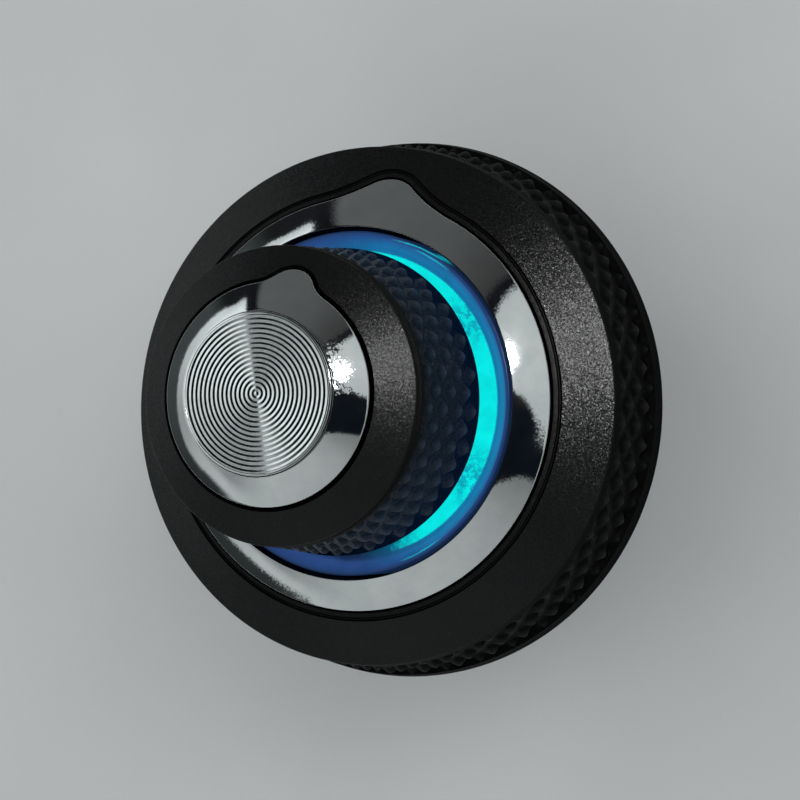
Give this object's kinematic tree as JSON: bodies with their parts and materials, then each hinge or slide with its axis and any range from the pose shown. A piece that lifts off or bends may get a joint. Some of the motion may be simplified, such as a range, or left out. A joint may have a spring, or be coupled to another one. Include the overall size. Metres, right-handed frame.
{
  "type": "car audio remote controller",
  "caption": "Panel remote with a knurled outer knob round a taller knurled push knob, bright pointer rings, a lit dish between them, threaded neck with ring nut and a cable socket.",
  "frame": {"origin": "on the knob axis, at the front face of the gasket, which is the rear face of the panel that the remote is fitted to", "axes": "+Z along the knob axis towards the user; +Y towards 12 o'clock, where the outer pointer stands; the cable socket opens towards -X"},
  "size_m": [0.0342, 0.0342, 0.0422],
  "materials": {
    "black_case": "fine moulded texture",
    "foam": "closed-cell foam",
    "zinc_steel": "zinc plated",
    "black_steel": "blackened",
    "nickel_brass": "nickel plated",
    "board_green": "solder mask",
    "led_white": "encapsulated",
    "chip_black": "moulded epoxy",
    "ceramic_tan": "fired ceramic",
    "socket_black": "moulded",
    "gold_contact": "gold plated",
    "tin": "tin plated",
    "clear_acrylic": "polished, clear",
    "switch_plastic": "glass-filled nylon",
    "plunger_white": "acetal",
    "spring_steel": "bright",
    "die_cast": "die cast",
    "phenolic": "phenolic with a carbon film",
    "rotor_plastic": "acetal",
    "shaft_brass": "turned",
    "light_ring": "translucent, lit",
    "knob_black": "satin with a fine sparkle",
    "bright_chrome": "polished",
    "spun_aluminium": "concentric turned grooves"
  },
  "bodies": {
    "base": {"front_housing": "black_case", "rear_cover": "black_case", "cover_screws": "black_steel", "panel_gasket": "foam", "lock_washer": "zinc_steel", "ring_nut": "nickel_brass", "circuit_board": "board_green", "board_screws": "zinc_steel", "ring_leds": "led_white", "controller_chip": "chip_black", "chip_capacitors": "ceramic_tan", "jack_shell": "socket_black", "jack_contacts": "gold_contact", "jack_solder_tails": "tin", "light_pipe": "clear_acrylic", "switch_base": "switch_plastic", "contact_dome": "spring_steel", "return_spring": "spring_steel", "pot_case": "die_cast", "inner_track": "phenolic", "outer_track": "phenolic", "pot_bushing": "nickel_brass", "pot_terminals": "tin"},
    "plunger": {"switch_plunger": "plunger_white"},
    "inner_drive": {"inner_rotor": "rotor_plastic", "inner_wiper": "gold_contact"},
    "outer_knob": {"outer_shaft": "shaft_brass", "outer_rotor": "rotor_plastic", "outer_wiper": "gold_contact", "light_dish": "light_ring", "hub_spring_ring": "spring_steel", "outer_knob_shell": "knob_black", "outer_bright_ring": "bright_chrome"},
    "inner_knob": {"inner_shaft": "zinc_steel", "inner_knob_shell": "knob_black", "knob_leaf_spring": "spring_steel", "inner_bright_ring": "bright_chrome", "spun_disc": "spun_aluminium"}
  },
  "joints": [
    {"name": "outer_turn", "type": "hinge", "parent": "base", "child": "outer_knob", "pos_m": [0, 0, 0], "axis": [0, 0, 1], "range_deg": [-150, 150]},
    {"name": "inner_turn", "type": "hinge", "parent": "base", "child": "inner_drive", "pos_m": [0, 0, 0], "axis": [0, 0, 1], "range_deg": [-145.5, 154.5]},
    {"name": "inner_push", "type": "slide", "parent": "inner_drive", "child": "inner_knob", "axis": [0, 0, -1], "range_m": [0, 0.0005], "stiffness_N_per_m": 1200, "springref_m": -0.001},
    {"name": "plunger_travel", "type": "slide", "parent": "base", "child": "plunger", "axis": [0, 0, -1], "range_m": [0, 0.0005], "deforming": ["return_spring"]}
  ],
  "couplings": [
    {"joint": "plunger_travel", "follows": "inner_push", "ratio": 1}
  ]
}
